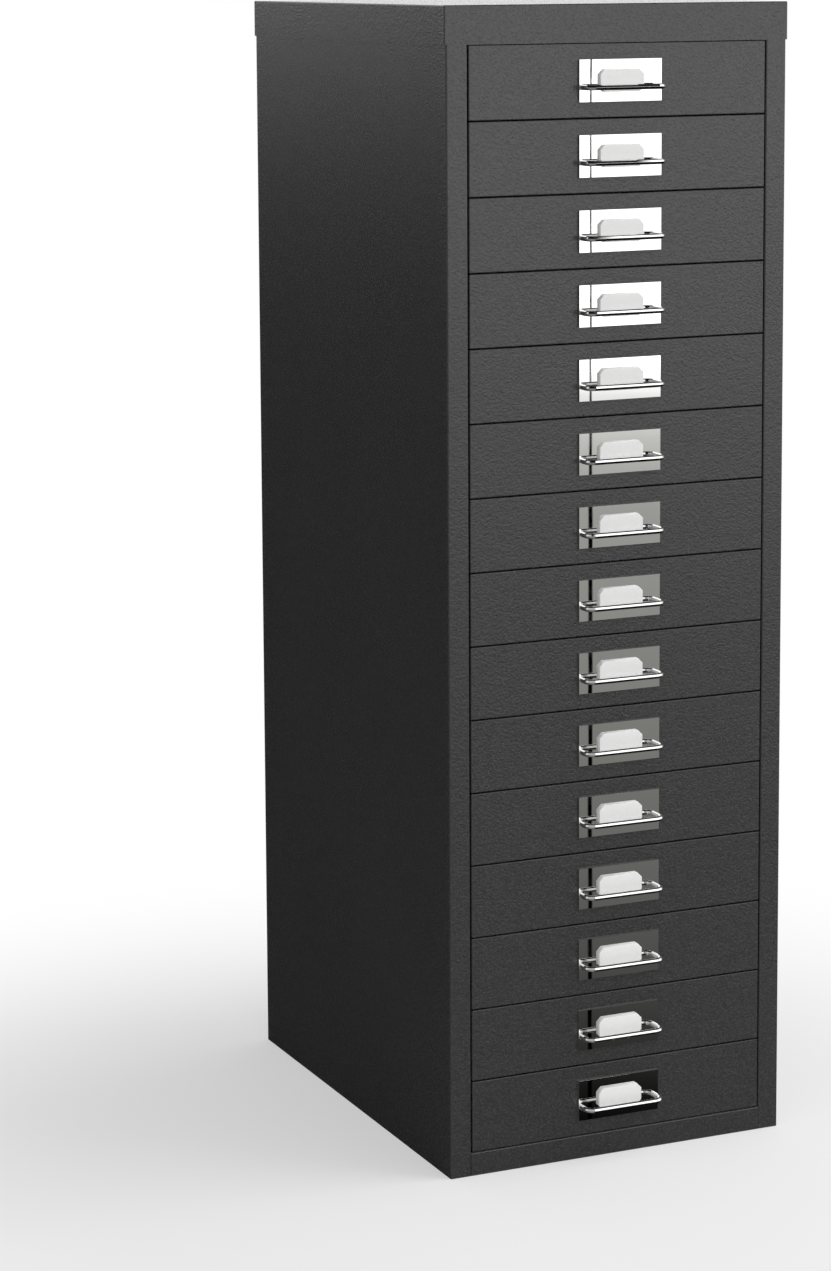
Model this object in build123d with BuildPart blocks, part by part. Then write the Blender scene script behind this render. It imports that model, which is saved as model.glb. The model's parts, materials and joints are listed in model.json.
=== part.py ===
"""A tall steel cabinet with fifteen equal drawers, each on its own pair of channel runners.

Millimetres, +Z up. The origin is on the floor, under the middle of the body. The front faces -Y.
"""

from build123d import *
import math
import os

# Overall size
cabinet_width = 279.0  # over the side skirts of the top cap
cabinet_depth = 365.0  # front face to back face, without the pulls
cabinet_height = 860.0
drawer_count = 15

# Carcass sheet metal
sheet = 0.9
bend_radius = 0.75  # on the middle of the sheet
cap_side_clearance = 0.4  # between a side sheet and the cap's skirt
cap_edge_radius = 1.0
stile_width = 16.7
return_depth = 12.0  # how far the face frame turns inward
top_band_height = 28.0
bottom_rail_height = 17.7
rail_lip_height = 7.0
rear_flange_width = 12.0
pan_flange_height = 14.0
seam_clearance = 0.3  # where one carcass piece ends beside another

# Drawers
drawer_sheet = 0.8
drawer_bend_radius = 0.9
front_side_gap = 1.0  # between a drawer front and a stile
front_face_gap = 0.8  # between one drawer front and the next
front_return_depth = 11.0
front_edge_radius = 0.7
tray_rear_clearance = 12.5  # from the tray's back to the cabinet's back face
tray_floor_lift = 3.5
tray_back_height = 40.0
flange_width = 5.2
flange_drop = 8.3  # from the top of the drawer's space down to the flange
flange_opening_clearance = 0.8  # between a flange and the face frame
ear_length = 12.0
ear_reach = 2.1  # how far a stop ear stands out past its flange

# Runners and uprights
ledge_clearance = 1.2  # between a ledge and the tray's side
slide_clearance = 0.3  # under the flange
lift_clearance = 0.5  # over the flange
ear_clearance = 0.5  # between a stop ear and the runner's web
lug_clearance = 0.4  # between a flange and the front stop lug
lug_length = 2.5
runner_front_clearance = 1.5  # behind the face frame's return
held_length = 49.0  # the length of tray still in the runner at full travel
stop_clearance = 0.3
upright_width = 30.0
upright_inset = 32.5  # from the front and the back face to an upright's nearer edge

# Pull
plate_width = 66.8
plate_height = 30.6
plate_thickness = 1.8
plate_edge_radius = 0.25
bar_diameter = 4.0
bar_edge_inset = 0.1  # from the plate's side edge to the outside of the bar
bar_projection = 13.2  # from the plate's face to the front of the bar
bar_corner_radius = 6.4  # on the middle of the bar
bar_drop = 4.6  # below the middle of the plate
stud_diameter = 3.0
stud_length = 6.0  # behind the drawer's front face
stud_hole_clearance = 0.2
nut_across_flats = 5.5
nut_thickness = 2.4
nut_bore_clearance = 0.05

# Label tab
label_width = 35.6
label_height = 16.4
label_corner = 3.7
label_thickness = 2.8
label_edge_bevel = 0.6

# Levels and planes that several pieces share
front_y = -cabinet_depth / 2
back_y = cabinet_depth / 2
body_half = cabinet_width / 2 - sheet - cap_side_clearance
inner_half = body_half - sheet
opening_half = body_half - stile_width
opening_bottom = bottom_rail_height
opening_top = cabinet_height - top_band_height
drawer_pitch = (opening_top - opening_bottom) / drawer_count
cap_underside = cabinet_height - sheet
return_y = front_y + return_depth

front_half = opening_half - front_side_gap
flange_half = opening_half - flange_opening_clearance
tray_half = flange_half - flange_width
ear_half = flange_half + ear_reach
tray_rear = back_y - tray_rear_clearance
skin_back = front_y + drawer_sheet

ledge_inner = tray_half + ledge_clearance
web_inner = ear_half + ear_clearance
web_outer = web_inner + sheet
runner_front = return_y + runner_front_clearance
runner_rear = tray_rear + stop_clearance + lug_length
drawer_travel = tray_rear - runner_front - held_length
lug_rear = tray_rear - ear_length - drawer_travel - stop_clearance

plate_face = front_y - plate_thickness
bar_middle_y = plate_face - bar_projection + bar_diameter / 2
bar_middle_half = plate_width / 2 - bar_edge_inset - bar_diameter / 2

os.makedirs("parts", exist_ok=True)


def save(part, name):
    """Label a finished piece and write it as its own file."""
    part.label = name
    export_step(part, f"parts/{name}.step")


def cell_bottom(number):
    """The bottom of a drawer's space. Drawer 1 is the top one."""
    return opening_bottom + (drawer_count - number) * drawer_pitch


def flange_top(number):
    """The top face of a drawer's runner flanges."""
    return cell_bottom(number) + drawer_pitch - flange_drop


def make_side(name, hand):
    """A side sheet with its stile and rear flange folded on. hand is -1 on the left and 1 on the right."""
    wall_x = hand * (body_half - sheet / 2)
    stile_x = hand * (opening_half + sheet / 2)
    flange_x = hand * (body_half - rear_flange_width)
    path = [
        (stile_x, return_y),
        (stile_x, front_y + sheet / 2),
        (wall_x, front_y + sheet / 2),
        (wall_x, back_y - sheet / 2),
        (flange_x, back_y - sheet / 2),
    ]
    upper_depth = cabinet_depth - 2 * (sheet + seam_clearance)
    with BuildPart() as side:
        with BuildSketch(Plane.XY):
            with BuildLine():
                FilletPolyline(*path, radius=bend_radius)
            trace(line_width=sheet)
        extrude(amount=opening_top)
        # Above the opening only the wall runs on, inside the cap's skirt
        with BuildSketch(Plane.XY.offset(opening_top)):
            with Locations((wall_x, 0)):
                Rectangle(sheet, upper_depth)
        extrude(amount=cap_underside - opening_top)
    save(side.part, name)


def make_back_panel():
    """A flat sheet, welded against the inner faces of the rear flanges and clear of their bends."""
    panel_half = inner_half - bend_radius
    with BuildPart() as panel:
        with BuildSketch(Plane.XZ.offset(-(back_y - 2 * sheet))):
            with Locations((0, cap_underside / 2)):
                Rectangle(2 * panel_half, cap_underside)
        extrude(amount=-sheet)
    save(panel.part, "back_panel")


def make_base_pan():
    """The floor of the carcass, with flanges turned up against the sides and the back."""
    pan_back = back_y - 2 * sheet
    pan_front = front_y + sheet
    wall_x = inner_half - sheet / 2
    path = [
        (-wall_x, pan_flange_height),
        (-wall_x, sheet / 2),
        (wall_x, sheet / 2),
        (wall_x, pan_flange_height),
    ]
    # The front ends of the side flanges stop behind the folded stiles
    with BuildPart() as pan:
        with BuildSketch(Plane.XZ.offset(-return_y)):
            with BuildLine():
                FilletPolyline(*path, radius=bend_radius)
            trace(line_width=sheet)
        extrude(amount=-(pan_back - return_y))
        with BuildSketch(Plane.XY):
            with Locations((0, (pan_front + return_y) / 2)):
                Rectangle(2 * (opening_half - seam_clearance), return_y - pan_front)
        extrude(amount=sheet)
        with BuildSketch(Plane.XY):
            with Locations((0, pan_back - sheet / 2)):
                Rectangle(2 * wall_x, sheet)
        extrude(amount=pan_flange_height)
    save(pan.part, "base_pan")


def make_bottom_rail():
    """The rail under the lowest drawer, folded back along its top and down again."""
    lip_y = return_y - sheet / 2
    path = [
        (front_y + sheet / 2, 0),
        (front_y + sheet / 2, bottom_rail_height - sheet / 2),
        (lip_y, bottom_rail_height - sheet / 2),
        (lip_y, bottom_rail_height - rail_lip_height),
    ]
    with BuildPart() as rail:
        with BuildSketch(Plane.YZ.offset(-opening_half)):
            with BuildLine():
                FilletPolyline(*path, radius=bend_radius)
            trace(line_width=sheet)
        extrude(amount=2 * opening_half)
    save(rail.part, "bottom_rail")


def make_top_cap():
    """The lid, with side skirts that lap the sides and front and back skirts flush with the faces."""
    inner_width = cabinet_width - 2 * sheet
    inner_depth = cabinet_depth - 2 * sheet
    return_half = opening_half - seam_clearance
    with BuildPart() as cap:
        with BuildSketch(Plane.XY.offset(opening_top)):
            Rectangle(cabinet_width, cabinet_depth)
        extrude(amount=top_band_height)
        fillet(cap.edges().filter_by(Axis.Z), radius=cap_edge_radius)
        fillet(cap.faces().sort_by(Axis.Z)[-1].edges(), radius=cap_edge_radius)
        with BuildSketch(Plane.XY.offset(opening_top)):
            Rectangle(inner_width, inner_depth)
        extrude(amount=top_band_height - sheet, mode=Mode.SUBTRACT)
        # The front skirt turns in under itself and closes the top of the drawer opening
        with BuildSketch(Plane.XY.offset(opening_top)):
            with Locations((0, front_y + return_depth / 2)):
                Rectangle(2 * return_half, return_depth)
        extrude(amount=sheet)
    save(cap.part, "top_cap")


def make_uprights(name, hand):
    """Two channels on a side wall. Their webs face inward and carry the runners."""
    web_x = hand * (web_outer + sheet / 2)
    wall_x = hand * inner_half
    bottom = pan_flange_height + seam_clearance
    with BuildPart() as uprights:
        for edge_y in (front_y + upright_inset, back_y - upright_inset - upright_width):
            path = [
                (wall_x, edge_y + sheet / 2),
                (web_x, edge_y + sheet / 2),
                (web_x, edge_y + upright_width - sheet / 2),
                (wall_x, edge_y + upright_width - sheet / 2),
            ]
            with BuildSketch(Plane.XY.offset(bottom)):
                with BuildLine():
                    FilletPolyline(*path, radius=bend_radius)
                trace(line_width=sheet)
            extrude(amount=cap_underside - seam_clearance - bottom)
    save(uprights.part, name)


def make_runners(name, hand):
    """Fifteen channels, one beside each drawer flange, each with a front stop lug and a rear stop."""
    web_x = hand * (web_outer - sheet / 2)
    edge_x = hand * ledge_inner
    lug_reach = web_inner - flange_half - lug_clearance
    stop_reach = web_inner - ledge_inner
    with BuildPart() as runners:
        for number in range(1, drawer_count + 1):
            ledge_top = flange_top(number) - drawer_sheet - slide_clearance
            lip_bottom = flange_top(number) + lift_clearance
            path = [
                (edge_x, ledge_top - sheet / 2),
                (web_x, ledge_top - sheet / 2),
                (web_x, lip_bottom + sheet / 2),
                (edge_x, lip_bottom + sheet / 2),
            ]
            with BuildSketch(Plane.XZ.offset(-runner_front)):
                with BuildLine():
                    FilletPolyline(*path, radius=bend_radius)
                trace(line_width=sheet)
            extrude(amount=-(runner_rear - runner_front))
            with BuildSketch(Plane.XY.offset(ledge_top)):
                with Locations((hand * (web_inner - lug_reach / 2), lug_rear - lug_length / 2)):
                    Rectangle(lug_reach, lug_length)
                with Locations((hand * (web_inner - stop_reach / 2), runner_rear - lug_length / 2)):
                    Rectangle(stop_reach, lug_length)
            extrude(amount=lip_bottom - ledge_top)
    save(runners.part, name)


def make_tray(number):
    """A drawer: a folded front, a tray welded behind it, runner flanges and two stop ears."""
    bottom = cell_bottom(number)
    front_height = drawer_pitch - front_face_gap
    front_middle = bottom + drawer_pitch / 2
    pull_z = front_middle - bar_drop
    flange_z = flange_top(number) - drawer_sheet / 2
    floor_z = bottom + tray_floor_lift + drawer_sheet / 2
    wall_x = tray_half - drawer_sheet / 2
    path = [
        (-flange_half, flange_z),
        (-wall_x, flange_z),
        (-wall_x, floor_z),
        (wall_x, floor_z),
        (wall_x, flange_z),
        (flange_half, flange_z),
    ]
    with BuildPart() as tray:
        # Front panel, folded back on all four sides
        with BuildSketch(Plane.XZ.offset(-front_y)):
            with Locations((0, front_middle)):
                Rectangle(2 * front_half, front_height)
        extrude(amount=-front_return_depth)
        fillet(tray.edges().filter_by(Axis.Y), radius=front_edge_radius)
        fillet(tray.faces().sort_by(Axis.Y)[0].edges(), radius=front_edge_radius)
        with BuildSketch(Plane.XZ.offset(-skin_back)):
            with Locations((0, front_middle)):
                Rectangle(2 * (front_half - drawer_sheet), front_height - 2 * drawer_sheet)
        extrude(amount=-front_return_depth, mode=Mode.SUBTRACT)
        # Floor, sides and runner flanges, folded from one sheet
        with BuildSketch(Plane.XZ.offset(-skin_back)):
            with BuildLine():
                FilletPolyline(*path, radius=drawer_bend_radius)
            trace(line_width=drawer_sheet)
        extrude(amount=-(tray_rear - skin_back))
        # Back wall
        with BuildSketch(Plane.XY.offset(floor_z)):
            with Locations((0, tray_rear - drawer_sheet / 2)):
                Rectangle(2 * wall_x, drawer_sheet)
        extrude(amount=bottom + tray_back_height - floor_z)
        # Stop ears at the rear of the flanges
        with BuildSketch(Plane.XY.offset(flange_z - drawer_sheet / 2)):
            for hand in (-1, 1):
                with Locations((hand * (ear_half + tray_half) / 2, tray_rear - ear_length / 2)):
                    Rectangle(ear_half - tray_half, ear_length)
        extrude(amount=drawer_sheet)
        # Holes for the pull's studs
        with BuildSketch(Plane.XZ.offset(-front_y)):
            with Locations((-bar_middle_half, pull_z), (bar_middle_half, pull_z)):
                Circle(stud_diameter / 2 + stud_hole_clearance)
        extrude(amount=-drawer_sheet, mode=Mode.SUBTRACT)
    save(tray.part, f"drawer_tray_{number:02d}")


def make_pull(number):
    """A chromed plate with a round bar bent out of it, held by two studs and nuts."""
    middle_z = cell_bottom(number) + drawer_pitch / 2
    bar_z = middle_z - bar_drop
    ends = [(-bar_middle_half, bar_z), (bar_middle_half, bar_z)]
    route = [
        (-bar_middle_half, plate_face),
        (-bar_middle_half, bar_middle_y),
        (bar_middle_half, bar_middle_y),
        (bar_middle_half, plate_face),
    ]
    nut_front = skin_back
    with BuildPart() as pull:
        with BuildSketch(Plane.XZ.offset(-front_y)):
            with Locations((0, middle_z)):
                Rectangle(plate_width, plate_height)
        extrude(amount=plate_thickness)
        fillet(pull.faces().sort_by(Axis.Y)[0].edges(), radius=plate_edge_radius)
        with BuildLine(Plane.XY.offset(bar_z)):
            FilletPolyline(*route, radius=bar_corner_radius)
        with BuildSketch(Plane.XZ.offset(-plate_face)):
            with Locations(ends[0]):
                Circle(bar_diameter / 2)
        sweep()
        with BuildSketch(Plane.XZ.offset(-front_y)):
            with Locations(*ends):
                Circle(stud_diameter / 2)
        extrude(amount=-stud_length)
        with BuildSketch(Plane.XZ.offset(-nut_front)):
            with Locations(*ends):
                RegularPolygon(radius=nut_across_flats / math.sqrt(3), side_count=6)
                Circle(stud_diameter / 2 + nut_bore_clearance, mode=Mode.SUBTRACT)
        extrude(amount=-nut_thickness)
    save(pull.part, f"drawer_pull_{number:02d}")


def make_label(number):
    """A white eight-sided label tab that stands on the plate behind the bar."""
    middle_z = cell_bottom(number) + drawer_pitch / 2
    with BuildPart() as label:
        with BuildSketch(Plane.XZ.offset(-plate_face)) as outline:
            with Locations((0, middle_z)):
                Rectangle(label_width, label_height)
            chamfer(outline.vertices(), length=label_corner)
        extrude(amount=label_thickness)
        chamfer(label.faces().sort_by(Axis.Y)[0].edges(), length=label_edge_bevel)
    save(label.part, f"drawer_label_{number:02d}")


make_side("left_side", -1)
make_side("right_side", 1)
make_back_panel()
make_base_pan()
make_bottom_rail()
make_top_cap()
make_uprights("left_uprights", -1)
make_uprights("right_uprights", 1)
make_runners("left_runners", -1)
make_runners("right_runners", 1)
for drawer_number in range(1, drawer_count + 1):
    make_tray(drawer_number)
    make_pull(drawer_number)
    make_label(drawer_number)

print(f"drawer pitch {drawer_pitch:.3f} mm, drawer travel {drawer_travel:.1f} mm")
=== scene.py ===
import json
import math

import bpy
from mathutils import Matrix, Vector

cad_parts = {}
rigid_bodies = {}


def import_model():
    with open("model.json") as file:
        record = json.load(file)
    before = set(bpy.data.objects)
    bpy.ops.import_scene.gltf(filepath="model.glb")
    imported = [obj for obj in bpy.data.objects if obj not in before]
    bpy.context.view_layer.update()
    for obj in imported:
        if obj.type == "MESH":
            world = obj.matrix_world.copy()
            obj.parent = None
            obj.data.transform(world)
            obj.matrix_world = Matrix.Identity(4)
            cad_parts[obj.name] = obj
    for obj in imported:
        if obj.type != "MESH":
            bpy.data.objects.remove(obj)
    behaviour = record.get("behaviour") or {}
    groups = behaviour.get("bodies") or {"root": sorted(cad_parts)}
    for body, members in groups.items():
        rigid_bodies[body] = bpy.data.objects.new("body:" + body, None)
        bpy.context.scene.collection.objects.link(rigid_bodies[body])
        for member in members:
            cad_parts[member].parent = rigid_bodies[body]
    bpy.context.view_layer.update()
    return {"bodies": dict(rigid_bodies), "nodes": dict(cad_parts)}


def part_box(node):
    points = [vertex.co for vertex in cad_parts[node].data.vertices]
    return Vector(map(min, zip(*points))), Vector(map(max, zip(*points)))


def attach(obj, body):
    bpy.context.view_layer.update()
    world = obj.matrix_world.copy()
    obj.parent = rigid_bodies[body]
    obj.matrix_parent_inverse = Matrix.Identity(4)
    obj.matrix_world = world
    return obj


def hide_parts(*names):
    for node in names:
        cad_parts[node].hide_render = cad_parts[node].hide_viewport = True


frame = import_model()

drawer_count = sum(1 for body in frame["bodies"] if body.startswith("drawer_"))

# Carcass sheets
# The cap, sides, back, base pan, bottom rail and uprights are steel sheet, folded and spot welded, then
# powder coated in one graphite colour. The coat dries with a fine sand texture, and its gloss varies from
# grain to grain.
carcass_nodes = ("top_cap", "left_side", "right_side", "back_panel", "base_pan", "bottom_rail",
                 "left_uprights", "right_uprights")
graphite = (0.0370, 0.0370, 0.0370, 1.0)
coat_roughness = 0.19
gloss_spread = 0.12
grain_per_metre = 600.0
grain_depth = 0.00022
grain_strength = 0.8
grain_low_cut, grain_high_cut = 0.35, 0.65
fine_grain_ratio = 1.4
fine_grain_share = 0.45
cloud_spread = 0.025
coat_clouds_per_metre = 7.0
# Nearly all values of a noise texture lie between these two
noise_low, noise_high = 0.3, 0.7
carcass_contrast = 0.15


def add_node(tree, kind, inputs=None, **settings):
    """A shader node with its settings and plain input values."""
    made = tree.nodes.new(kind)
    for key, value in settings.items():
        setattr(made, key, value)
    for key, value in (inputs or {}).items():
        made.inputs[key].default_value = value
    return made


def wire(tree, links):
    """Joins each output to its input."""
    for source, target in links:
        tree.links.new(source, target)


def new_group(name, inputs, outputs):
    """An empty shader node group with named sockets."""
    group = bpy.data.node_groups.new(name, "ShaderNodeTree")
    for socket, kind in inputs:
        group.interface.new_socket(socket, in_out="INPUT", socket_type=kind)
    for socket, kind in outputs:
        group.interface.new_socket(socket, in_out="OUTPUT", socket_type=kind)
    return group, group.nodes.new("NodeGroupInput"), group.nodes.new("NodeGroupOutput")


def new_material(name):
    """An empty node material, with its shader and its tree."""
    material = bpy.data.materials.new(name)
    material.use_nodes = True
    material.node_tree.nodes.clear()
    shader = material.node_tree.nodes.new("ShaderNodeBsdfPrincipled")
    output = material.node_tree.nodes.new("ShaderNodeOutputMaterial")
    material.node_tree.links.new(shader.outputs["BSDF"], output.inputs["Surface"])
    return material, shader, material.node_tree


def finish_node(name, material):
    """Gives a kept frame node its finish."""
    node_object = frame["nodes"][name]
    node_object.data.materials.clear()
    node_object.data.materials.append(material)


# Sand texture: coarse grains carry the tone and most of the height, fine ones break up the gloss
sand, sand_in, sand_out = new_group(
    "sand_texture",
    [("Colour", "NodeSocketColor"), ("Grains", "NodeSocketFloat"), ("Contrast", "NodeSocketFloat"),
     ("Roughness", "NodeSocketFloat")],
    [("Colour", "NodeSocketColor"), ("Roughness", "NodeSocketFloat"), ("Height", "NodeSocketFloat")])
place = add_node(sand, "ShaderNodeTexCoord")
coarse = add_node(sand, "ShaderNodeTexNoise", {"Detail": 2.0, "Roughness": 0.6})
fine_scale = add_node(sand, "ShaderNodeMath", {1: fine_grain_ratio}, operation="MULTIPLY")
fine = add_node(sand, "ShaderNodeTexNoise", {"Detail": 1.0, "Roughness": 0.5})
cloud = add_node(sand, "ShaderNodeTexNoise", {"Scale": coat_clouds_per_metre, "Detail": 2.0})
grain_low = add_node(sand, "ShaderNodeMath", {0: 1.0}, operation="SUBTRACT")
grain_high = add_node(sand, "ShaderNodeMath", {0: 1.0}, operation="ADD")
grain_tone = add_node(sand, "ShaderNodeMapRange", {"From Min": grain_low_cut, "From Max": grain_high_cut})
cloud_tone = add_node(sand, "ShaderNodeMapRange", {"From Min": noise_low, "From Max": noise_high,
                                                   "To Min": 1 - cloud_spread, "To Max": 1 + cloud_spread})
both_tones = add_node(sand, "ShaderNodeMath", operation="MULTIPLY")
toned = add_node(sand, "ShaderNodeVectorMath", operation="SCALE")
gloss_shift = add_node(sand, "ShaderNodeMapRange", {"From Min": grain_low_cut, "From Max": grain_high_cut,
                                                    "To Min": -gloss_spread, "To Max": gloss_spread})
rough_sum = add_node(sand, "ShaderNodeMath", operation="ADD")
fine_share = add_node(sand, "ShaderNodeMath", {1: fine_grain_share}, operation="MULTIPLY")
height_sum = add_node(sand, "ShaderNodeMath", operation="ADD")
wire(sand, (
        (place.outputs["Object"], coarse.inputs["Vector"]),
        (place.outputs["Object"], fine.inputs["Vector"]),
        (place.outputs["Object"], cloud.inputs["Vector"]),
        (sand_in.outputs["Grains"], coarse.inputs["Scale"]),
        (sand_in.outputs["Grains"], fine_scale.inputs[0]),
        (fine_scale.outputs[0], fine.inputs["Scale"]),
        (sand_in.outputs["Contrast"], grain_low.inputs[1]),
        (sand_in.outputs["Contrast"], grain_high.inputs[1]),
        (coarse.outputs["Fac"], grain_tone.inputs["Value"]),
        (grain_low.outputs[0], grain_tone.inputs["To Min"]),
        (grain_high.outputs[0], grain_tone.inputs["To Max"]),
        (cloud.outputs["Fac"], cloud_tone.inputs["Value"]),
        (grain_tone.outputs[0], both_tones.inputs[0]),
        (cloud_tone.outputs[0], both_tones.inputs[1]),
        (sand_in.outputs["Colour"], toned.inputs["Vector"]),
        (both_tones.outputs[0], toned.inputs["Scale"]),
        (toned.outputs["Vector"], sand_out.inputs["Colour"]),
        (fine.outputs["Fac"], gloss_shift.inputs["Value"]),
        (gloss_shift.outputs[0], rough_sum.inputs[0]),
        (sand_in.outputs["Roughness"], rough_sum.inputs[1]),
        (rough_sum.outputs[0], sand_out.inputs["Roughness"]),
        (fine.outputs["Fac"], fine_share.inputs[0]),
        (coarse.outputs["Fac"], height_sum.inputs[0]),
        (fine_share.outputs[0], height_sum.inputs[1]),
        (height_sum.outputs[0], sand_out.inputs["Height"])))


def powder_coat(name, colour, contrast):
    """Graphite powder coat with its sand texture."""
    material, shader, tree = new_material(name)
    grains = add_node(tree, "ShaderNodeGroup", node_tree=sand)
    grains.inputs["Colour"].default_value = colour
    grains.inputs["Grains"].default_value = grain_per_metre
    grains.inputs["Contrast"].default_value = contrast
    grains.inputs["Roughness"].default_value = coat_roughness
    bump = add_node(tree, "ShaderNodeBump", {"Strength": grain_strength, "Distance": grain_depth})
    tree.links.new(grains.outputs["Colour"], shader.inputs["Base Color"])
    tree.links.new(grains.outputs["Roughness"], shader.inputs["Roughness"])
    tree.links.new(grains.outputs["Height"], bump.inputs["Height"])
    tree.links.new(bump.outputs["Normal"], shader.inputs["Normal"])
    return material


carcass_coat = powder_coat("carcass_coat", graphite, carcass_contrast)
for name in carcass_nodes:
    finish_node(name, carcass_coat)

# Runners
# Fifteen zinc plated steel channels a side, roll formed and welded to the uprights. The rolls leave faint
# lines along each channel, and the plating is dull and a little cloudy.
zinc_dark, zinc_pale = (0.46, 0.47, 0.48, 1.0), (0.60, 0.61, 0.61, 1.0)
zinc_shiny, zinc_dull = 0.30, 0.50
roll_stretch = 0.02
rolls_per_metre = 1800.0
clouds_per_metre = 60.0
roll_depth = 0.00005
roll_strength = 0.2
# Socket numbers of a Mix node that mixes colours
mix_a, mix_b, mix_result = 6, 7, 2

zinc, zinc_shader, zinc_tree = new_material("zinc_plate")
zinc_shader.inputs["Metallic"].default_value = 1.0
zinc_place = add_node(zinc_tree, "ShaderNodeTexCoord")
along = add_node(zinc_tree, "ShaderNodeMapping")
along.inputs["Scale"].default_value = (1.0, roll_stretch, 1.0)
rolled = add_node(zinc_tree, "ShaderNodeTexNoise", {"Scale": rolls_per_metre, "Detail": 2.0})
clouds = add_node(zinc_tree, "ShaderNodeTexNoise", {"Scale": clouds_per_metre, "Detail": 3.0})
zinc_tone = add_node(zinc_tree, "ShaderNodeMix", data_type="RGBA")
zinc_tone.inputs[mix_a].default_value = zinc_dark
zinc_tone.inputs[mix_b].default_value = zinc_pale
zinc_rough = add_node(zinc_tree, "ShaderNodeMapRange", {"To Min": zinc_shiny, "To Max": zinc_dull})
zinc_bump = add_node(zinc_tree, "ShaderNodeBump", {"Strength": roll_strength, "Distance": roll_depth})
wire(zinc_tree, (
        (zinc_place.outputs["Object"], along.inputs["Vector"]),
        (along.outputs["Vector"], rolled.inputs["Vector"]),
        (zinc_place.outputs["Object"], clouds.inputs["Vector"]),
        (clouds.outputs["Fac"], zinc_tone.inputs[0]),
        (zinc_tone.outputs[mix_result], zinc_shader.inputs["Base Color"]),
        (rolled.outputs["Fac"], zinc_rough.inputs["Value"]),
        (zinc_rough.outputs[0], zinc_shader.inputs["Roughness"]),
        (rolled.outputs["Fac"], zinc_bump.inputs["Height"]),
        (zinc_bump.outputs["Normal"], zinc_shader.inputs["Normal"])))
for name in ("left_runners", "right_runners"):
    finish_node(name, zinc)

# Drawers
# Each is steel sheet folded into a front, a floor, two sides and a back, with flanges that slide on the
# runners. It is coated in the same graphite as the carcass, with a slightly stronger sand texture.
drawer_contrast = 0.17

drawer_coat = powder_coat("drawer_coat", graphite, drawer_contrast)
for number in range(1, drawer_count + 1):
    finish_node(f"drawer_tray_{number:02d}", drawer_coat)

# Pulls
# A flat back plate with a bar of eight flats, bent at both ends and brazed to it, chromed bright. Two studs
# behind the bar's feet pass through the drawer front, and a hexagon nut holds each one inside.
plate_width = 0.0668
plate_thickness = 0.0018
plate_edge = 0.00002
flat_margin = 0.00010
bar_radius = 0.002
bar_inset = 0.0001
bar_bend = 0.0064
bar_drop = 0.0046
stud_radius = 0.0015
nut_width = 0.0055
nut_thickness = 0.0024
front_sheet = 0.0008
stud_chamfer = 0.0004
nut_chamfer = 0.0003
stud_sides, nut_sides = 24, 6
bar_shade_angle = 12
shade_angle = 35
bar_flats = 8
flat_ease = 0.00012
bend_steps = 12
same_plane = 1e-6
merge_distance = 1e-7


def deselect():
    bpy.ops.object.select_all(action="DESELECT")


def named(name):
    """The active new primitive, named, with its size in its mesh."""
    made = bpy.context.object
    made.name = name
    made.data.name = name
    bpy.ops.object.transform_apply(location=True, rotation=True, scale=True)
    return made


def pick(piece, kind, test):
    """Selects, in edit mode, the faces or edges whose middle passes the test."""
    bpy.ops.object.mode_set(mode="EDIT")
    bpy.ops.mesh.select_mode(type=kind)
    bpy.ops.mesh.select_all(action="DESELECT")
    bpy.ops.object.mode_set(mode="OBJECT")
    points = [vertex.co for vertex in piece.data.vertices]
    for item in (piece.data.polygons if kind == "FACE" else piece.data.edges):
        corners = [points[index] for index in item.vertices]
        item.select = bool(test(corners))
    bpy.ops.object.mode_set(mode="EDIT")


def all_at(axis, value):
    """A test for corners that all lie on one plane."""
    return lambda corners: all(abs(corner[axis] - value) < same_plane for corner in corners)


def shade(piece, degrees):
    deselect()
    piece.select_set(True)
    bpy.context.view_layer.objects.active = piece
    bpy.ops.object.shade_smooth_by_angle(angle=math.radians(degrees))


pull_low, pull_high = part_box("drawer_pull_01")
pull_middle = (pull_low.z + pull_high.z) / 2
front_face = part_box("drawer_tray_01")[0].y
plate_front = front_face - plate_thickness
plate_size = Vector((plate_width, plate_thickness, pull_high.z - pull_low.z))
bar_height = pull_middle - bar_drop
foot_x = plate_size.x / 2 - bar_inset - bar_radius
bar_middle = pull_low.y + bar_radius
bend_y = bar_middle + bar_bend

deselect()
bpy.ops.mesh.primitive_cube_add(size=1, location=(0, front_face - plate_thickness / 2, pull_middle),
                                scale=plate_size)
plate = named("pull_plate")
pick(plate, "EDGE", all_at(1, plate_front))
bpy.ops.mesh.bevel(offset=plate_edge, segments=1, affect="EDGES")
pick(plate, "FACE", all_at(1, plate_front))
bpy.ops.mesh.inset(thickness=flat_margin)
bpy.ops.object.mode_set(mode="OBJECT")

# The bar is drawn out of its left foot, round each corner and back to the plate. Its flats meet in eased
# edges, and stay flat when it is shaded
deselect()
bpy.ops.mesh.primitive_circle_add(vertices=bar_flats, radius=bar_radius, fill_type="NGON",
                                  location=(-foot_x, plate_front, bar_height), rotation=(math.pi / 2, 0, 0))
bar = named("pull_bar")
bpy.ops.object.mode_set(mode="EDIT")
bpy.ops.mesh.select_all(action="SELECT")
bpy.ops.mesh.bevel(offset=flat_ease, segments=2, affect="VERTICES")
bpy.ops.mesh.select_all(action="SELECT")
bpy.ops.mesh.extrude_region_move(TRANSFORM_OT_translate={"value": (0, bend_y - plate_front, 0)})
bpy.ops.mesh.spin(steps=bend_steps, angle=math.pi / 2, axis=(0, 0, -1),
                  center=(-foot_x + bar_bend, bend_y, bar_height))
bpy.ops.mesh.extrude_region_move(TRANSFORM_OT_translate={"value": (2 * (foot_x - bar_bend), 0, 0)})
bpy.ops.mesh.spin(steps=bend_steps, angle=math.pi / 2, axis=(0, 0, -1),
                  center=(foot_x - bar_bend, bend_y, bar_height))
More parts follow.
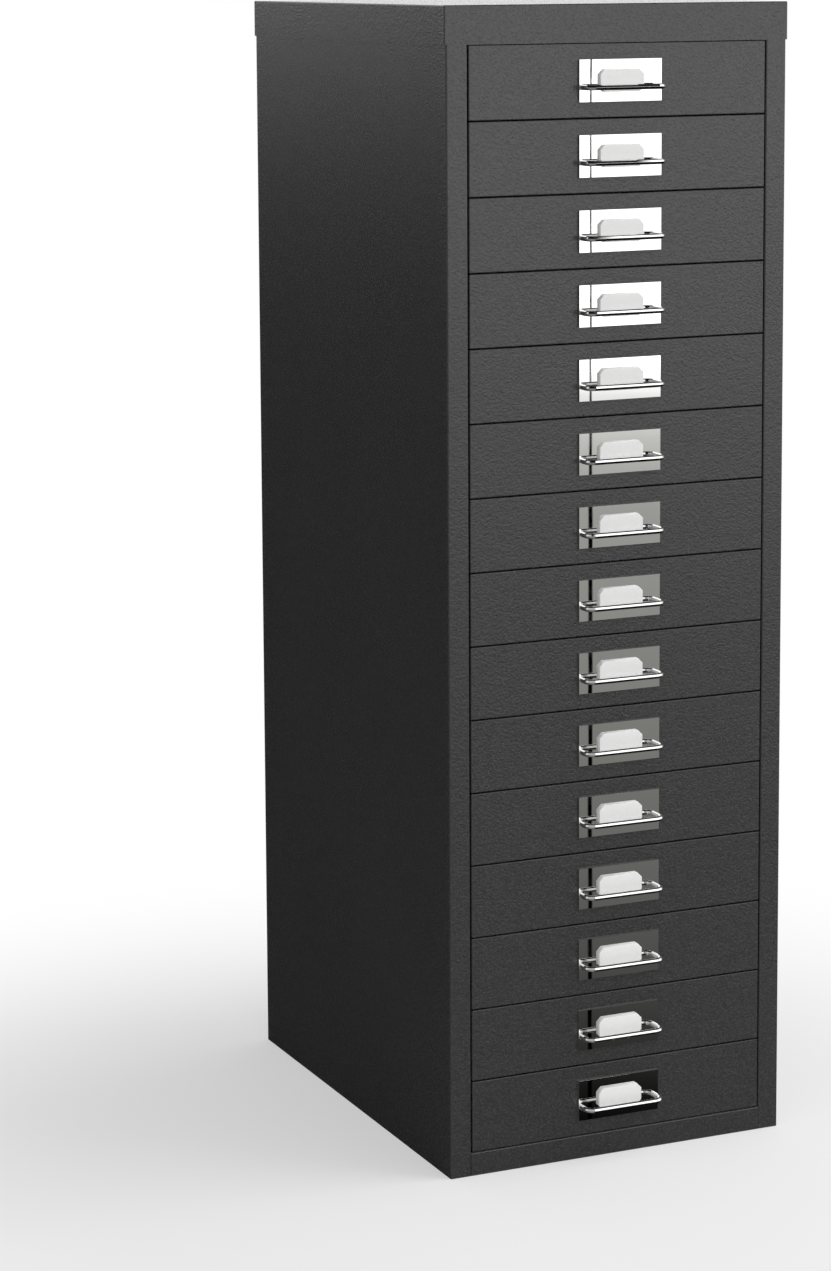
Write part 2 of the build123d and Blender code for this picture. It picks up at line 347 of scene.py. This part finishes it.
bpy.ops.mesh.extrude_region_move(TRANSFORM_OT_translate={"value": (0, plate_front - bend_y, 0)})
bpy.ops.mesh.select_all(action="SELECT")
bpy.ops.mesh.remove_doubles(threshold=merge_distance)
bpy.ops.mesh.normals_make_consistent(inside=False)
bpy.ops.object.mode_set(mode="OBJECT")

fixings = []
for side in (-1, 1):
    stud_length = pull_high.y - front_face
    deselect()
    bpy.ops.mesh.primitive_cylinder_add(vertices=stud_sides, radius=stud_radius, depth=stud_length,
                                        location=(side * foot_x, front_face + stud_length / 2, bar_height),
                                        rotation=(math.pi / 2, 0, 0))
    stud = named("pull_stud")
    pick(stud, "EDGE", all_at(1, pull_high.y))
    bpy.ops.mesh.bevel(offset=stud_chamfer, segments=1, affect="EDGES")
    bpy.ops.object.mode_set(mode="OBJECT")
    nut_y = front_face + front_sheet + nut_thickness / 2
    deselect()
    bpy.ops.mesh.primitive_cylinder_add(vertices=nut_sides, radius=nut_width / math.sqrt(3),
                                        depth=nut_thickness,
                                        location=(side * foot_x, nut_y, bar_height),
                                        rotation=(math.pi / 2, math.pi / 6, 0))
    nut = named("pull_nut")
    pick(nut, "EDGE", all_at(1, nut_y + nut_thickness / 2))
    bpy.ops.mesh.bevel(offset=nut_chamfer, segments=2, affect="EDGES")
    bpy.ops.object.mode_set(mode="OBJECT")
    fixings += [stud, nut]

# Bright chrome over a polished plate: a slow waviness under the plating and a trace of haze from wiping
chrome_dark, chrome_pale = (0.79, 0.79, 0.78, 1.0), (0.82, 0.82, 0.82, 1.0)
chrome_clear, chrome_hazy = 0.004, 0.010
haze_per_metre = 90.0
waves_per_metre = 40.0
wave_depth = 0.00005
wave_strength = 0.05

chrome, chrome_shader, chrome_tree = new_material("bright_chrome")
chrome_shader.inputs["Metallic"].default_value = 1.0
chrome_place = add_node(chrome_tree, "ShaderNodeTexCoord")
haze = add_node(chrome_tree, "ShaderNodeTexNoise", {"Scale": haze_per_metre, "Detail": 4.0})
haze_rough = add_node(chrome_tree, "ShaderNodeMapRange",
                      {"From Min": noise_low, "From Max": noise_high,
                       "To Min": chrome_clear, "To Max": chrome_hazy})
haze_tone = add_node(chrome_tree, "ShaderNodeMix", data_type="RGBA")
haze_tone.inputs[mix_a].default_value = chrome_dark
haze_tone.inputs[mix_b].default_value = chrome_pale
wave = add_node(chrome_tree, "ShaderNodeTexNoise", {"Scale": waves_per_metre, "Detail": 0.0})
wave_bump = add_node(chrome_tree, "ShaderNodeBump", {"Strength": wave_strength, "Distance": wave_depth})
wire(chrome_tree, (
        (chrome_place.outputs["Object"], haze.inputs["Vector"]),
        (chrome_place.outputs["Object"], wave.inputs["Vector"]),
        (haze.outputs["Fac"], haze_rough.inputs["Value"]),
        (haze_rough.outputs[0], chrome_shader.inputs["Roughness"]),
        (haze.outputs["Fac"], haze_tone.inputs[0]),
        (haze_tone.outputs[mix_result], chrome_shader.inputs["Base Color"]),
        (wave.outputs["Fac"], wave_bump.inputs["Height"]),
        (wave_bump.outputs["Normal"], chrome_shader.inputs["Normal"])))
for piece in (plate, bar):
    piece.data.materials.append(chrome)
for piece in fixings:
    piece.data.materials.append(zinc)

shade(bar, bar_shade_angle)
for piece in [plate] + fixings:
    shade(piece, shade_angle)
deselect()
for piece in [plate, bar] + fixings:
    piece.select_set(True)
bpy.context.view_layer.objects.active = plate
bpy.ops.object.join()
first_pull = plate


def set_out(first, stem):
    """Copies the first drawer's piece to every drawer, each copy with its own mesh, and rides it there."""
    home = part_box("drawer_tray_01")[0]
    for number in range(1, drawer_count + 1):
        copy = first if number == 1 else first.copy()
        if number > 1:
            copy.data = first.data.copy()
            bpy.context.scene.collection.objects.link(copy)
            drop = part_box(f"drawer_tray_{number:02d}")[0] - home
            copy.data.transform(Matrix.Translation(drop))
        copy.name = f"{stem}_{number:02d}"
        copy.data.name = copy.name
        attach(copy, f"drawer_{number:02d}")
        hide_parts(f"drawer_{stem}_{number:02d}")


set_out(first_pull, "pull")

# Label tabs
# A white moulded tab with its corners cut off, glued to the middle of the plate behind the bar. Its front
# edges are eased.
label_thickness = 0.0028
label_corner = 0.0037
label_edge = 0.0004
label_shade_angle = 50
tab_dark, tab_pale = (0.84, 0.84, 0.835, 1.0), (0.90, 0.90, 0.895, 1.0)
tab_shiny, tab_dull = 0.38, 0.50
mottle_per_metre = 500.0
mottle_depth = 0.00003
mottle_strength = 0.2
label_low, label_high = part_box("drawer_label_01")
label_middle = (label_low + label_high) / 2

deselect()
bpy.ops.mesh.primitive_cube_add(size=1, location=label_middle, scale=label_high - label_low)
label = named("label_tab")
pick(label, "EDGE", lambda corners: abs(corners[0].y - corners[1].y) > label_thickness / 2)
bpy.ops.mesh.bevel(offset=label_corner, segments=1, affect="EDGES", offset_type="OFFSET")
pick(label, "EDGE", all_at(1, label_low.y))
bpy.ops.mesh.bevel(offset=label_edge, segments=3, affect="EDGES")
pick(label, "FACE", all_at(1, label_low.y))
bpy.ops.mesh.inset(thickness=flat_margin)
bpy.ops.object.mode_set(mode="OBJECT")

tab_white, tab_shader, tab_tree = new_material("tab_white")
tab_place = add_node(tab_tree, "ShaderNodeTexCoord")
tab_mottle = add_node(tab_tree, "ShaderNodeTexNoise", {"Scale": mottle_per_metre, "Detail": 3.0})
tab_tone = add_node(tab_tree, "ShaderNodeMix", data_type="RGBA")
tab_tone.inputs[mix_a].default_value = tab_dark
tab_tone.inputs[mix_b].default_value = tab_pale
tab_rough = add_node(tab_tree, "ShaderNodeMapRange", {"To Min": tab_shiny, "To Max": tab_dull})
tab_bump = add_node(tab_tree, "ShaderNodeBump", {"Strength": mottle_strength, "Distance": mottle_depth})
wire(tab_tree, (
        (tab_place.outputs["Object"], tab_mottle.inputs["Vector"]),
        (tab_mottle.outputs["Fac"], tab_tone.inputs[0]),
        (tab_tone.outputs[mix_result], tab_shader.inputs["Base Color"]),
        (tab_mottle.outputs["Fac"], tab_rough.inputs["Value"]),
        (tab_rough.outputs[0], tab_shader.inputs["Roughness"]),
        (tab_mottle.outputs["Fac"], tab_bump.inputs["Height"]),
        (tab_bump.outputs["Normal"], tab_shader.inputs["Normal"])))
label.data.materials.append(tab_white)
shade(label, label_shade_angle)
set_out(label, "label")

# Floor
# A plain pale floor that runs out to white and keeps the cabinet's shadow. Seen by the camera it is pale
# grey paper. What it throws back on the cabinet is set apart and is painted light: a painted pool of bounce
# light, brighter than white nearby and darker further off.
floor_radius = 8.0
floor_sides = 96
floor_level = -0.0002
floor_roughness = 0.9
floor_tone = (0.80, 0.80, 0.80, 1.0)
white_share = 0.42
fade_middle = Vector((-0.08, -0.15, 0.0))
fade_start, fade_end = 0.30, 0.85
# Painted bounce light: the floor's colour as the cabinet sees it, above white near the cabinet and falling
# off with distance
painted_bounce_start, painted_bounce_end = 0.5, 2.0
painted_bounce_near, painted_bounce_far = 1.10, 0.45

deselect()
bpy.ops.mesh.primitive_circle_add(vertices=floor_sides, radius=floor_radius, fill_type="NGON",
                                  location=(0, 0, floor_level))
floor = named("floor")
floor.visible_glossy = False
paper, paper_shader, paper_tree = new_material("floor_paper")
paper_shader.inputs["Roughness"].default_value = floor_roughness
paper_shader.inputs["Specular IOR Level"].default_value = 0.0
paper_place = add_node(paper_tree, "ShaderNodeTexCoord")
reach = add_node(paper_tree, "ShaderNodeVectorMath", {1: fade_middle}, operation="DISTANCE")
fade = add_node(paper_tree, "ShaderNodeMapRange",
                {"From Min": fade_start, "From Max": fade_end, "To Min": white_share},
                interpolation_type="SMOOTHSTEP")
# Painted bounce light: the colour that other rays see, set brighter than white near the cabinet to light its
# lower part
painted_bounce = add_node(paper_tree, "ShaderNodeMapRange",
                  {"From Min": painted_bounce_start, "From Max": painted_bounce_end,
                   "To Min": painted_bounce_near, "To Max": painted_bounce_far})
paper_path = add_node(paper_tree, "ShaderNodeLightPath")
seen = add_node(paper_tree, "ShaderNodeMath", operation="MULTIPLY")
shade_mix = add_node(paper_tree, "ShaderNodeMix", data_type="RGBA")
shade_mix.inputs[mix_b].default_value = floor_tone
white = add_node(paper_tree, "ShaderNodeEmission", {"Color": (1, 1, 1, 1), "Strength": 1.0})
paper_mix = add_node(paper_tree, "ShaderNodeMixShader")
paper_output = paper_tree.nodes["Material Output"]
wire(paper_tree, (
        (paper_place.outputs["Object"], reach.inputs[0]),
        (reach.outputs["Value"], fade.inputs["Value"]),
        (reach.outputs["Value"], painted_bounce.inputs["Value"]),
        (paper_path.outputs["Is Camera Ray"], shade_mix.inputs[0]),
        (painted_bounce.outputs[0], shade_mix.inputs[mix_a]),
        (shade_mix.outputs[mix_result], paper_shader.inputs["Base Color"]),
        (fade.outputs[0], seen.inputs[0]),
        (paper_path.outputs["Is Camera Ray"], seen.inputs[1]),
        (seen.outputs[0], paper_mix.inputs["Fac"]),
        (paper_shader.outputs["BSDF"], paper_mix.inputs[1]),
        (white.outputs["Emission"], paper_mix.inputs[2]),
        (paper_mix.outputs["Shader"], paper_output.inputs["Surface"])))
floor.data.materials.append(paper)

# Light
# One large soft lamp high on the right. The room gives matt surfaces an even light, with more of it from the
# front and right. Bright surfaces mirror graded walls: white at eye level, dark below and overhead, grey on
# the left.
lamp_place = Vector((1.35, -0.75, 2.60))
lamp_aim = Vector((0.0, 0.0, 0.30))
lamp_size = 1.6
lamp_power = 31.0
room_light = 0.72
room_lean = 0.55
lean_side = Vector((0.7, -0.7, 0.0))
# The walls in the mirror, each as heights of the mirrored direction, by its sine, with their brightness: in
# front, behind, overhead as a share of those two, and on the left
low_room = ((-0.330, 0.004), (-0.321, 0.012), (-0.302, 0.050), (-0.282, 0.100), (-0.263, 0.150),
            (-0.2436, 0.190), (-0.203, 0.275), (-0.1616, 0.386), (-0.148, 0.49), (-0.140, 0.64),
            (-0.127, 1.0), (-0.118, 1.95))
low_back = ((-0.07, 0.004), (-0.04, 0.04), (-0.015, 0.3), (0.010, 1.0), (0.035, 1.3))
upper_walls = ((0.15, 1.0), (0.30, 0.55), (0.36, 0.85), (0.571, 0.95), (0.579, 0.012), (0.62, 0.012))
left_room = ((-0.50, 0.22), (-0.15, 0.25), (-0.08, 0.55), (0.50, 0.55))
# Where the front wall turns into the left one, and how softly the front turns into the back
left_edge, left_full = 0.22, 0.0
back_blend = 0.35
# An upright dark seam in the room's front wall, by its slope from the middle. It is wider low down
seam_slope = 0.5114
seam_core, seam_edge = 0.00027, 0.00043
seam_low_share = 0.45
seam_low_start, seam_low_end = -0.16, -0.12
# Grey room levels lean a little to olive
olive_blue = 0.955
olive_below = 0.7

deselect()
bpy.ops.object.light_add(type="AREA", location=lamp_place)
lamp = bpy.context.object
lamp.name = "soft_lamp"
lamp.data.shape = "SQUARE"
lamp.data.size = lamp_size
lamp.data.energy = lamp_power
lamp.rotation_euler = (lamp_aim - lamp_place).to_track_quat("-Z", "Y").to_euler()
lamp.visible_camera = False
lamp.visible_glossy = False

world = bpy.data.worlds.new("room")
bpy.context.scene.world = world
world.use_nodes = True
world.cycles.sampling_method = "NONE"
room = world.node_tree
room.nodes.clear()
direction = add_node(room, "ShaderNodeTexCoord")
parts = add_node(room, "ShaderNodeSeparateXYZ")


def level_ramp(levels):
    """A ramp over the direction's height, with its brightness as grey."""
    low, high = levels[0][0], levels[-1][0]
    spread = add_node(room, "ShaderNodeMapRange", {"From Min": low, "From Max": high})
    ramp = add_node(room, "ShaderNodeValToRGB")
    stops = ramp.color_ramp.elements
    for height, bright in levels[1:-1]:
        blue = bright * olive_blue if bright < olive_below else bright
        stops.new((height - low) / (high - low)).color = (bright, bright, blue, 1.0)
    for stop, (height, bright) in ((stops[0], levels[0]), (stops[len(stops) - 1], levels[-1])):
        stop.color = (bright, bright, bright, 1.0)
    room.links.new(parts.outputs["Z"], spread.inputs["Value"])
    room.links.new(spread.outputs[0], ramp.inputs["Fac"])
    return ramp


front_room = level_ramp(low_room)
back_room = level_ramp(low_back)
facing = add_node(room, "ShaderNodeMapRange", {"From Min": -back_blend, "From Max": back_blend})
walls = add_node(room, "ShaderNodeMix", data_type="RGBA")
ceiling = level_ramp(upper_walls)
front_way = add_node(room, "ShaderNodeMath", {1: -1.0}, operation="MULTIPLY")
slope = add_node(room, "ShaderNodeMath", operation="DIVIDE")
slope_off = add_node(room, "ShaderNodeMath", {1: seam_slope}, operation="SUBTRACT")
off_size = add_node(room, "ShaderNodeMath", operation="ABSOLUTE")
low_down = add_node(room, "ShaderNodeMapRange",
                    {"From Min": seam_low_start, "From Max": seam_low_end, "To Min": seam_low_share})
off_scaled = add_node(room, "ShaderNodeMath", operation="MULTIPLY")
left_walls = level_ramp(left_room)
to_left = add_node(room, "ShaderNodeMapRange", {"From Min": left_edge, "From Max": left_full})
front_walls = add_node(room, "ShaderNodeMix", data_type="RGBA")
seam = add_node(room, "ShaderNodeMapRange", {"From Min": seam_core, "From Max": seam_edge})
seam_and_ceiling = add_node(room, "ShaderNodeMath", operation="MULTIPLY")
mirrored = add_node(room, "ShaderNodeVectorMath", operation="SCALE")
lean = add_node(room, "ShaderNodeVectorMath", {1: lean_side}, operation="DOT_PRODUCT")
lean_level = add_node(room, "ShaderNodeMath", {1: room_lean * room_light, 2: room_light},
                      operation="MULTIPLY_ADD")
even = add_node(room, "ShaderNodeCombineColor")
lit = add_node(room, "ShaderNodeMix", data_type="RGBA")
room_path = add_node(room, "ShaderNodeLightPath")
seen_white = add_node(room, "ShaderNodeMix", data_type="RGBA")
seen_white.inputs[mix_b].default_value = (1.0, 1.0, 1.0, 1.0)
backdrop = add_node(room, "ShaderNodeBackground")
room_output = add_node(room, "ShaderNodeOutputWorld")
wire(room, (
        (direction.outputs["Generated"], parts.inputs["Vector"]),
        (parts.outputs["Y"], facing.inputs["Value"]),
        (facing.outputs[0], walls.inputs[0]),
        (parts.outputs["X"], to_left.inputs["Value"]),
        (to_left.outputs[0], front_walls.inputs[0]),
        (front_room.outputs["Color"], front_walls.inputs[mix_a]),
        (left_walls.outputs["Color"], front_walls.inputs[mix_b]),
        (front_walls.outputs[mix_result], walls.inputs[mix_a]),
        (back_room.outputs["Color"], walls.inputs[mix_b]),
        (parts.outputs["Y"], front_way.inputs[0]),
        (parts.outputs["X"], slope.inputs[0]),
        (front_way.outputs[0], slope.inputs[1]),
        (slope.outputs[0], slope_off.inputs[0]),
        (slope_off.outputs[0], off_size.inputs[0]),
        (parts.outputs["Z"], low_down.inputs["Value"]),
        (off_size.outputs[0], off_scaled.inputs[0]),
        (low_down.outputs[0], off_scaled.inputs[1]),
        (off_scaled.outputs[0], seam.inputs["Value"]),
        (seam.outputs[0], seam_and_ceiling.inputs[0]),
        (ceiling.outputs["Color"], seam_and_ceiling.inputs[1]),
        (walls.outputs[mix_result], mirrored.inputs[0]),
        (seam_and_ceiling.outputs[0], mirrored.inputs["Scale"]),
        (direction.outputs["Generated"], lean.inputs[0]),
        (lean.outputs["Value"], lean_level.inputs[0]),
        (lean_level.outputs[0], even.inputs["Red"]),
        (lean_level.outputs[0], even.inputs["Green"]),
        (lean_level.outputs[0], even.inputs["Blue"]),
        (room_path.outputs["Is Glossy Ray"], lit.inputs[0]),
        (even.outputs["Color"], lit.inputs[mix_a]),
        (mirrored.outputs["Vector"], lit.inputs[mix_b]),
        (room_path.outputs["Is Camera Ray"], seen_white.inputs[0]),
        (lit.outputs[mix_result], seen_white.inputs[mix_a]),
        (seen_white.outputs[mix_result], backdrop.inputs["Color"]),
        (backdrop.outputs["Background"], room_output.inputs["Surface"])))

# Camera
# It stands to the left at the height of the cabinet's top, about two and a half metres away, and its lens
# is shifted down a little, so that the cabinet's edges stay nearly upright.
camera_place = Vector((-1.1478, -2.3812, 0.8927))
camera_heading = math.radians(24.122)
camera_tilt = math.radians(7.589)
camera_roll = math.radians(0.332)
camera_lens = 96.62
camera_sensor = 36.0
camera_shift = -0.175

camera_data = bpy.data.cameras.new("camera")
camera_data.sensor_width = camera_sensor
camera_data.lens = camera_lens
camera_data.shift_y = camera_shift
camera = bpy.data.objects.new("camera", camera_data)
bpy.context.scene.collection.objects.link(camera)
camera.matrix_world = (Matrix.Translation(camera_place) @ Matrix.Rotation(-camera_heading, 4, "Z")
                       @ Matrix.Rotation(math.pi / 2 - camera_tilt, 4, "X")
                       @ Matrix.Rotation(-camera_roll, 4, "Z"))
bpy.context.scene.camera = camera
bpy.context.scene.view_settings.view_transform = "Standard"
